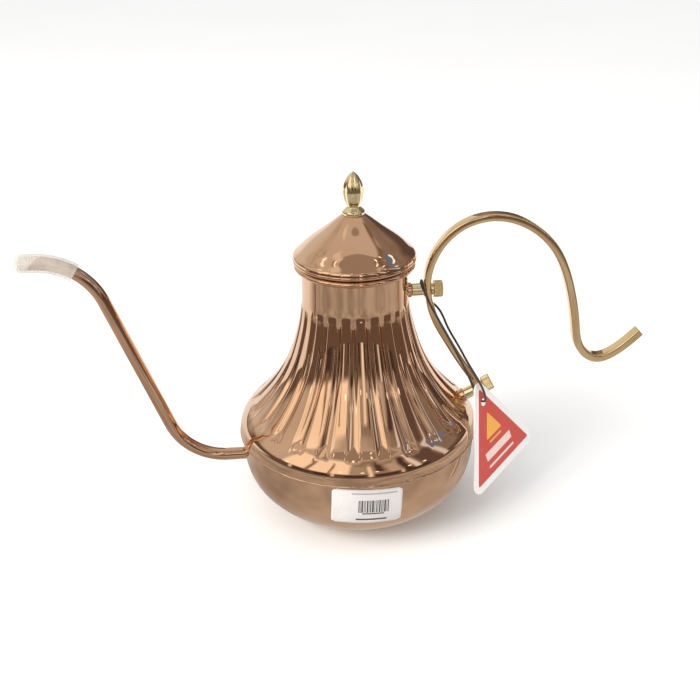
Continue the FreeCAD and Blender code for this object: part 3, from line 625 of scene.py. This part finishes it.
def spout_path():
    """Centre line of the spout: level root, bend, straight rise, bend that ends level at the mouth."""
    level, low_bend = 28.5 * MM, 30.0 * MM
    start = -BOWL_RADIUS + 3.0 * MM
    root = -BOWL_RADIUS - 8.4 * MM
    turns = np.radians(np.linspace(0.0, SPOUT_RISE, 34))
    first = np.stack([root - low_bend * np.sin(turns), 0.0 * turns,
                      level + low_bend * (1.0 - np.cos(turns))], axis=1)
    second = np.array([on_spout_bend(degrees)[0] for degrees in np.linspace(SPOUT_RISE, 0.0, 50)])
    return np.concatenate([straight((start, 0.0, level), (root, 0.0, level), 6)[:-1], first,
                           straight(first[-1], second[0], 30)[1:-1], second])


def make_spout():
    """Tube bent twice, its mouth cut on a slant."""
    outer, bore, lip_reach = 3.25 * MM, 2.55 * MM, 0.12 * MM
    slant = math.tan(math.radians(50.0))
    slanted_rings = 10
    path = spout_path()
    around = 48
    walls = []
    for radius in (outer, bore):
        rows = swept(path, ring_section(radius, around))
        for ring in range(1, slanted_rings + 1):
            share = 1.0 - (ring - 1) / slanted_rings
            reach = (rows[-ring][:, 2] - path[-ring][2]) * slant * share
            turn = np.maximum(reach, 0.0) / SPOUT_BEND
            arm = rows[-ring] - SPOUT_CENTRE
            rows[-ring][:, 0] = SPOUT_CENTRE[0] + arm[:, 0] * np.cos(turn) + arm[:, 2] * np.sin(turn)
            rows[-ring][:, 2] = SPOUT_CENTRE[2] + arm[:, 2] * np.cos(turn) - arm[:, 0] * np.sin(turn)
            rows[-ring][:, 0] += np.minimum(reach, 0.0)
        walls.append(rows)
    outside, inside = walls
    lip = 0.5 * (outside[-1] + inside[-1]) - np.array((lip_reach, 0.0, 0.0))
    rows = np.concatenate([outside, lip[None], inside[::-1]])
    piece = new_piece("spout", rows.reshape(-1, 3), grid_faces(len(rows), around, True, True),
                      "kettle", ROSE, 60)
    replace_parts(piece, "spout_tube")


def make_sleeve():
    """Soft milky tube over the bent spout tip, slightly uneven, closed and rounded at the far end."""
    covered, past = 35.0, 8.4 * MM
    bent = math.radians(covered) * SPOUT_BEND
    around = 56

    def ring(reach, radius):
        """Ring of the given radius at a distance from the sleeve's open end."""
        middle, way = on_spout_bend(max(0.0, covered - math.degrees(reach / SPOUT_BEND)))
        middle = middle + way * max(0.0, reach - bent)
        flat = ring_section(radius, around)
        uneven = np.sin(3 * np.arctan2(flat[:, 1], flat[:, 0]) + 260.0 * reach)
        flat = flat * (1.0 + 0.01 * uneven)[:, None]
        up = np.array((-way[2], 0.0, way[0]))
        return middle + flat[:, :1] * np.array((0.0, 1.0, 0.0)) + flat[:, 1:] * up

    def wall(radius, length, edge):
        """Rings from the open end to the rounded end, which closes towards its middle."""
        turns = np.radians(np.linspace(0, 90, 9))[1:]
        stations = [(reach, radius) for reach in np.linspace(0.0, length - edge, 34)]
        stations += [(length - edge + edge * math.sin(t), radius - edge + edge * math.cos(t)) for t in turns]
        stations += [(length, share * (radius - edge)) for share in (0.6, 0.25, 0.02)]
        return [ring(*station) for station in stations]

    outer = wall(4.6 * MM, bent + past, 3.2 * MM)
    bore = wall(3.35 * MM, bent + past - 1.2 * MM, 2.0 * MM)
    rows = np.array(outer + bore[::-1])
    piece = new_piece("sleeve", rows.reshape(-1, 3), grid_faces(len(rows), around, True, True),
                      "sleeve", clear_plastic(), 60)
    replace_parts(piece, "spout_sleeve")


# ---------------------------------------------------------------- label and hanging tag

def bowl_radius_at(height, outside):
    """Radius of the bowl's outside, given as (radius, height) points, at a height."""
    return np.interp(height, outside[:, 1], outside[:, 0])


def curved_patch(left, right, bottom, top, lift, outside, corner=0.0, thick=0.0):
    """Sheet on the front of the bowl, as vertices and faces. Its outline is flat, measured from the
    label's middle, and tilted and turned with the label before it is laid on the bowl."""
    columns, rows = 40, 18
    points = []
    for depth in ((0.0, thick) if thick else (0.0,)):
        for v in np.linspace(bottom, top, rows):
            inset = 0.0
            edge = min(v - bottom, top - v)
            if corner and edge < corner:
                inset = corner - math.sqrt(max(0.0, corner ** 2 - (corner - edge) ** 2))
            for u in np.linspace(left + inset, right - inset, columns):
                across = u * math.cos(LABEL_TILT) + v * math.sin(LABEL_TILT)
                height = LABEL_MIDDLE - u * math.sin(LABEL_TILT) + v * math.cos(LABEL_TILT)
                ahead = -math.sqrt((bowl_radius_at(height, outside) + lift - depth) ** 2 - across ** 2)
                points.append((across * math.cos(LABEL_TURN) - ahead * math.sin(LABEL_TURN),
                               across * math.sin(LABEL_TURN) + ahead * math.cos(LABEL_TURN), height))
    faces = grid_faces(rows, columns, False, False)
    if thick:
        count = rows * columns
        faces += [tuple(count + i for i in face[::-1]) for face in faces]
        rim = [(0, c) for c in range(columns)]
        rim += [(r, columns - 1) for r in range(1, rows)]
        rim += [(rows - 1, c) for c in range(columns - 2, -1, -1)]
        rim += [(r, 0) for r in range(rows - 2, 0, -1)]
        for (r0, c0), (r1, c1) in zip(rim, rim[1:] + rim[:1]):
            a, b = r0 * columns + c0, r1 * columns + c1
            faces.append((b, a, a + count, b + count))
    return points, faces


def label_piece(name, patches, material):
    """One piece on the kettle out of several patches."""
    points, faces = [], []
    for more_points, more_faces in patches:
        faces += [tuple(len(points) + i for i in face) for face in more_faces]
        points += more_points
    return new_piece(name, points, faces, "kettle", material)


def make_label(outside):
    """Plain shelf label: white paper with generic bars, dark lines and one pale line, no lettering."""
    half, tall, corner = 17.0 * MM, 10.8 * MM, 2.0 * MM
    thick, paper_lift, print_lift = 0.12 * MM, 0.17 * MM, 0.19 * MM
    paper = curved_patch(-half, half, -tall, tall, paper_lift, outside, corner=corner, thick=thick)
    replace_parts(label_piece("label", [paper], sticker_paper()), "price_label")

    def printed(left, right, bottom, top):
        return curved_patch(left * MM, right * MM, bottom * MM, top * MM, print_lift, outside)

    dark = ink("label_ink", (0.05, 0.05, 0.05))
    pale = ink("label_pale_ink", (0.36, 0.35, 0.35))
    widths = [0.5, 0.25, 0.8, 0.3, 0.3, 0.7, 0.25, 0.5, 0.9, 0.3, 0.5, 0.25, 0.7, 0.4, 0.3, 0.8, 0.25, 0.5]
    gaps = [0.35, 0.3, 0.4, 0.3, 0.5, 0.35, 0.3, 0.4, 0.35, 0.5, 0.3, 0.35, 0.4, 0.3, 0.35, 0.3, 0.4, 0.0]
    bars = []
    at = -4.2
    for wide, gap in zip(widths, gaps):
        bars.append(printed(at, at + wide, -2.9, 4.6))
        at += wide + gap
    label_piece("label_bars", bars, dark)
    label_piece("label_lines", [printed(-2.2, 8.4, -4.1, -3.3), printed(-5.2, 9.8, -8.4, -7.2)], dark)
    label_piece("label_pale_line", [printed(-7.6, 14.4, 8.0, 8.9)], pale)


def tag_axes():
    """Top corner of the hanging tag, and its across, down and outward directions."""
    joint = joints["tag_swing"]
    away = -Vector(joint["axis"]).normalized()
    hole = Vector(joint["pos_m"])
    downhill = Vector((0.315, -0.116, -0.942))
    down = (downhill - away * downhill.dot(away)).normalized()
    return hole - down * TAG_HOLE, away, down, down.cross(away)


def rounded_triangle(side, inset, corner, shift=0.0):
    """Corner-rounded triangle, point up, as (across, down) points; inset moves its edges inward."""
    per_corner = 8
    tall = side * math.sqrt(3.0) / 2.0
    top = (0.0, 2.0 * inset + shift)
    low = tall - inset + shift
    wide = 0.5 * side - math.sqrt(3.0) * inset
    corners = [np.array(top), np.array((wide, low)), np.array((-wide, low))]
    loop = []
    for index, spot in enumerate(corners):
        before, after = corners[index - 1], corners[(index + 1) % 3]
        to_before = (before - spot) / np.linalg.norm(before - spot)
        to_after = (after - spot) / np.linalg.norm(after - spot)
        middle = (to_before + to_after) / np.linalg.norm(to_before + to_after)
        centre = spot + middle * 2.0 * corner
        start = spot + to_before * corner * math.sqrt(3.0) - centre
        end = spot + to_after * corner * math.sqrt(3.0) - centre
        first = math.atan2(start[1], start[0])
        last = math.atan2(end[1], end[0])
        if last - first > math.pi:
            last -= 2.0 * math.pi
        if first - last > math.pi:
            last += 2.0 * math.pi
        turns = np.linspace(first, last, per_corner)
        loop += [centre + corner * np.array((math.cos(turn), math.sin(turn))) for turn in turns]
    return np.array(loop)


def flat_on_tag(name, loop, front, back, material, hole=None):
    """Slab between two heights over the tag's middle plane, outlined by loop. hole, if given, is the
    (centre, radius) of a round hole; the loop then has to run around it once."""
    top, away, down, out = tag_axes()

    def spot(across, low, height):
        return top + away * across + down * low + out * height

    loop = [tuple(p) for p in loop]
    faces = []
    if hole is None:
        count = len(loop)
        vertices = [spot(a, d, front) for a, d in loop] + [spot(a, d, back) for a, d in loop]
        faces.append(tuple(range(count)))
        faces.append(tuple(range(2 * count - 1, count - 1, -1)))
        faces += [(i, i + count, (i + 1) % count + count, (i + 1) % count) for i in range(count)]
    else:
        centre, radius = hole
        turns = [math.atan2(d - centre[1], a - centre[0]) for a, d in loop]
        ring = [(centre[0] + radius * math.cos(t), centre[1] + radius * math.sin(t)) for t in turns]
        count = len(loop)
        vertices = [spot(a, d, h) for h in (front, back) for group in (loop, ring) for a, d in group]
        for i in range(count):
            j = (i + 1) % count
            faces.append((i, j, count + j, count + i))
            faces.append((2 * count + i, 3 * count + i, 3 * count + j, 2 * count + j))
            faces.append((i, 2 * count + i, 2 * count + j, j))
            faces.append((count + i, count + j, 3 * count + j, 3 * count + i))
    return new_piece(name, vertices, faces, "tag", material, 30)


def dense(loop, step):
    """Adds points along a closed loop's long edges."""
    result = []
    for index, spot in enumerate(loop):
        after = loop[(index + 1) % len(loop)]
        pieces = max(1, int(np.linalg.norm(after - spot) / step))
        result += [spot + (after - spot) * k / pieces for k in range(pieces)]
    return np.array(result)


def make_tag():
    """White card, red print set in from the edge, amber triangle and strip, two plain pale strips."""
    side, corner, point_step = 63.0 * MM, 4.5 * MM, 1.0 * MM
    half = 0.3 * MM
    print_inset, print_corner, print_half = 3.6 * MM, 0.8 * MM, 0.05 * MM
    raised = half + 0.09 * MM
    hole = ((0.0, TAG_HOLE), 2.0 * MM)
    white = card("tag_white", (0.86, 0.84, 0.82), (0.74, 0.71, 0.68))
    red = card("tag_red", (0.60, 0.075, 0.055), (0.66, 0.16, 0.13))
    amber = card("tag_amber", (0.85, 0.42, 0.07), (0.90, 0.55, 0.14))
    pale = card("tag_pale", (0.86, 0.66, 0.60), (0.74, 0.42, 0.36))
    card_edge = dense(rounded_triangle(side, 0.0, corner), point_step)
    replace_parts(flat_on_tag("tag", card_edge, half, -half, white, hole), "hang_tag")
    print_edge = dense(rounded_triangle(side, print_inset, print_corner), point_step)
    flat_on_tag("tag_red_print", print_edge, half + print_half, half - print_half, red, hole)
    emblem = rounded_triangle(14.6 * MM, 0.0, 0.6 * MM, shift=20.9 * MM)
    flat_on_tag("tag_triangle", emblem, raised, half, amber)
    # name, distance down from the top corner, height and width in millimetres, tone
    for name, low, tall, wide, tone in (("tag_strip_wide", 39.2, 4.2, 24.0, pale),
                                        ("tag_strip_thin", 46.3, 1.2, 24.0, pale),
                                        ("tag_strip_amber", 35.2, 1.0, 11.0, amber)):
        left, right, top, bottom = -0.5 * wide * MM, 0.5 * wide * MM, low * MM, (low + tall) * MM
        loop = [(left, top), (right, top), (right, bottom), (left, bottom)]
        flat_on_tag(name, np.array(loop)[::-1], raised, half, tone)


def dress_cad(names, material):
    """CAD nodes shown as they are, with smooth shading between their real edges."""
    sharp = math.radians(35)
    for name in names:
        node = frame["nodes"][name]
        node.data.materials.clear()
        node.data.materials.append(material)
        node.data.shade_smooth()
        node.data.set_sharp_from_angle(angle=sharp)


# ---------------------------------------------------------------- camera, floor and light

def make_camera():
    """Looks a little down at the kettle, nearly square to the plane of spout and handle."""
    turn = math.radians(5.0)
    distance, height = 0.455, 0.310
    pitch, yaw, roll = math.radians(26.3), math.radians(-0.4), math.radians(-1.29)
    forward = Vector((math.sin(yaw) * math.cos(pitch), math.cos(yaw) * math.cos(pitch), -math.sin(pitch)))
    right = Vector((math.cos(yaw), -math.sin(yaw), 0.0))
    up = right.cross(forward)
    level, raised = right * math.cos(roll) + up * math.sin(roll), up * math.cos(roll) - right * math.sin(roll)
    spin = Matrix.Rotation(-turn, 3, "Z")
    data = bpy.data.cameras.new("camera")
    data.sensor_width = 36.0
    data.lens = 51.43
    camera = bpy.data.objects.new("camera", data)
    place = spin @ Vector((0.0, -distance, height))
    camera.matrix_world = matrix_of([spin @ axis for axis in (level, raised, -forward)], place)
    bpy.context.scene.collection.objects.link(camera)
    bpy.context.scene.camera = camera


def make_floor():
    """Pale paper for the camera. Polished metal mirrors a mottled table top instead, which gets
    darker with distance and turns white behind the kettle."""
    mesh = bpy.data.meshes.new("floor")
    size = 6.0
    corners = [(-size, -size, 0), (size, -size, 0), (size, size, 0), (-size, size, 0)]
    mesh.from_pydata(corners, [], [(0, 1, 2, 3)])
    floor = bpy.data.objects.new("floor", mesh)
    bpy.context.scene.collection.objects.link(floor)
    n = material_nodes("floor")
    speck = n.noise(scale=3.0, detail=2.0)
    mirrored = n.add("ShaderNodeLightPath").outputs["Is Glossy Ray"]
    clutter = n.noise(scale=9.0, detail=3.0, rough=0.6)
    table = n.blend(n.spread(clutter, 0.35, 0.65), (0.34, 0.31, 0.28), (0.58, 0.55, 0.51))
    parts = n.add("ShaderNodeSeparateXYZ")
    n.join(n.place, parts.inputs[0])
    reach = n.add("ShaderNodeVectorMath", operation="LENGTH")
    n.join(n.place, reach.inputs[0])
    table = n.blend(n.spread(reach.outputs["Value"], 0.34, 0.56), table, (0.15, 0.11, 0.085))
    table = n.blend(n.spread(parts.outputs["Y"], 0.03, 0.17), table, (1.0, 1.0, 1.0))
    paper = n.blend(speck, (0.86, 0.86, 0.86), (0.90, 0.90, 0.90))
    seen = n.blend(mirrored, paper, (0.0, 0.0, 0.0))
    mesh.materials.append(n.finish(Base_Color=seen, Roughness=0.8, Specular_IOR_Level=0.0,
                                   Emission_Color=table, Emission_Strength=mirrored))


def add_light(name, place, aim, size, power, tint):
    """Soft rectangular lamp that lights the scene but isn't mirrored in the metal."""
    data = bpy.data.lights.new(name, "AREA")
    data.shape = "RECTANGLE"
    data.size, data.size_y = size
    data.energy = power
    data.color = tint
    light = bpy.data.objects.new(name, data)
    light.location = place
    light.rotation_mode = "QUATERNION"
    light.rotation_quaternion = (Vector(aim) - Vector(place)).to_track_quat("-Z", "Y")
    light.visible_glossy = False
    bpy.context.scene.collection.objects.link(light)


# The room that polished metal mirrors, one panel a row: left, right, low and high side in degrees
# (0 is straight in front of the kettle, right is +, up is +), soft edge in degrees, colour.
PANELS = (
    (-200, -128, 4, 40, 8, (0.72, 0.72, 0.69)),
    (-186, -150, -14, 12, 5, (1.00, 1.00, 1.00)),
    (-112, -84, 14, 58, 5, (0.66, 0.62, 0.56)),
    (-80, -14, 15, 52, 3, (1.22, 1.14, 1.00)),
    (-56, -52, 0, 48, 2, (0.30, 0.22, 0.16)),
    (-34, -31, 6, 46, 1, (0.42, 0.32, 0.25)),
    (-12, 2, 14, 46, 2, (0.50, 0.44, 0.38)),
    (4, 8, -6, 46, 2, (1.15, 1.10, 1.00)),
    (12, 20, 26, 48, 2, (0.10, 0.07, 0.06)),
    (24, 36, 16, 46, 3, (0.62, 0.57, 0.50)),
    (38, 45, 0, 47, 2, (0.09, 0.06, 0.05)),
    (48, 54, 4, 52, 2, (0.95, 0.98, 1.05)),
    (57, 76, 0, 44, 3, (0.14, 0.10, 0.09)),
    (79, 85, 2, 50, 2, (0.80, 0.86, 0.95)),
    (88, 104, 33, 50, 3, (0.16, 0.26, 0.52)),
    (106, 166, -8, 24, 8, (0.12, 0.09, 0.08)),
    (-71, -68, -8, 15, 1, (0.90, 0.82, 0.72)),
    (-30, -27, -8, 15, 1, (0.90, 0.82, 0.72)),
    (34, 37, -8, 15, 1, (0.85, 0.82, 0.76)),
    (-66, -50, -6, 8, 2, (0.07, 0.05, 0.04)),
    (-46, -32, -6, 10, 2, (0.06, 0.04, 0.04)),
    (-18, 0, -6, 7, 2, (0.05, 0.04, 0.04)),
    (10, 31, -6, 10, 2, (0.07, 0.05, 0.05)),
    (40, 62, -6, 8, 2, (0.06, 0.05, 0.04)),
    (-100, -60, 62, 72, 3, (0.85, 0.80, 0.72)),
    (60, 110, 52, 60, 3, (0.22, 0.17, 0.13)),
    (-76, -73, 16, 20, 1, (2.20, 2.10, 2.00)),
    (-24, -21, 25, 29, 1, (2.20, 2.10, 2.00)),
    (-3, 0, 22, 26, 1, (2.20, 2.10, 2.00)),
    (11, 14, 24, 28, 1, (2.20, 2.10, 2.00)),
    (43, 46, 22, 26, 1, (2.20, 2.15, 2.10)),
    (58, 61, 18, 22, 1, (2.20, 2.15, 2.10)),
    (-102, -96, 48, 54, 1, (1.80, 1.70, 1.60)),
    (-72, -69, 59, 63, 1, (2.00, 1.90, 1.80)),
    (-48, -45, 60, 64, 1, (2.00, 1.90, 1.80)),
    (-14, -11, 58, 64, 1, (2.00, 1.90, 1.80)),
    (14, 17, 60, 64, 1, (2.00, 1.90, 1.80)),
    (66, 70, 58, 62, 1, (2.00, 1.95, 1.90)),
    (84, 87, 55, 59, 1, (2.00, 1.95, 1.90)),
    (100, 104, 40, 46, 1, (2.00, 1.95, 1.90)),
)


def make_world():
    """White for the camera and for soft light; polished metal mirrors a plain room instead: lighter
    on the left, dark on the right, with a brown front ceiling, windows, posts and small lamps."""
    world = bpy.data.worlds.new("studio")
    bpy.context.scene.world = world
    n = Nodes(world, "Generated")
    parts = n.add("ShaderNodeSeparateXYZ")
    n.join(n.place, parts.inputs[0])
    east, north, height = parts.outputs
    degrees = 180.0 / math.pi
    front = n.math("MULTIPLY", north, -1.0)
    turn = n.math("MULTIPLY", n.math("ARCTAN2", east, front), degrees)
    rise = n.math("MULTIPLY", n.math("ARCSINE", height), degrees)
    room = n.blend(n.spread(turn, -120.0, 100.0), (0.62, 0.58, 0.52), (0.30, 0.26, 0.23))
    clutter = n.noise(scale=5.0, detail=4.0, rough=0.6, place=n.stretch((1.0, 1.0, 0.5)))
    room = n.blend(n.spread(clutter, 0.40, 0.66, 0.0, 0.55), room, (0.20, 0.15, 0.12))
    room = n.blend(n.spread(rise, 10.0, 17.0), (0.15, 0.11, 0.085), room)
    room = n.blend(n.spread(rise, 50.0, 58.0), room, (0.64, 0.60, 0.54))
    ceiling = n.math("MULTIPLY", n.spread(rise, 56.0, 60.0), n.spread(front, 0.09, 0.11))
    room = n.blend(ceiling, room, (0.37, 0.32, 0.28))
    for left, right, low, high, soft, tone in PANELS:
        inside = n.spread(turn, left - soft, left + soft)
        for value, edge, side in ((turn, right, -1), (rise, low, 1), (rise, high, -1)):
            mask = n.spread(value, edge - soft, edge + soft, 0.5 - 0.5 * side, 0.5 + 0.5 * side)
            inside = n.math("MULTIPLY", inside, mask)
        room = n.blend(inside, room, tone)
    mirrored = n.add("ShaderNodeLightPath").outputs["Is Glossy Ray"]
    background = n.tree.nodes["Background"]
    n.join(n.blend(mirrored, (1.0, 1.0, 1.0), room), background.inputs["Color"])
    n.join(1.0, background.inputs["Strength"])


outside_of_bowl = make_bowl()
make_bell()
make_lid()
make_finial()
make_stud("upper")
make_stud("lower")
make_strap()
make_spout()
make_sleeve()
make_label(outside_of_bowl)
make_tag()
dress_cad(("upper_boss", "lower_boss", "lid_plug"), ROSE)
dress_cad(("finial_screw", "finial_washer"), STEEL)
dress_cad(("tag_cord",), elastic())
make_camera()
make_floor()
make_world()
add_light("left_window", (-1.2, -0.6, 0.9), (0, 0, 0.1), (0.9, 0.9), 25, (1.0, 0.95, 0.88))
bpy.context.scene.view_settings.view_transform = "Standard"
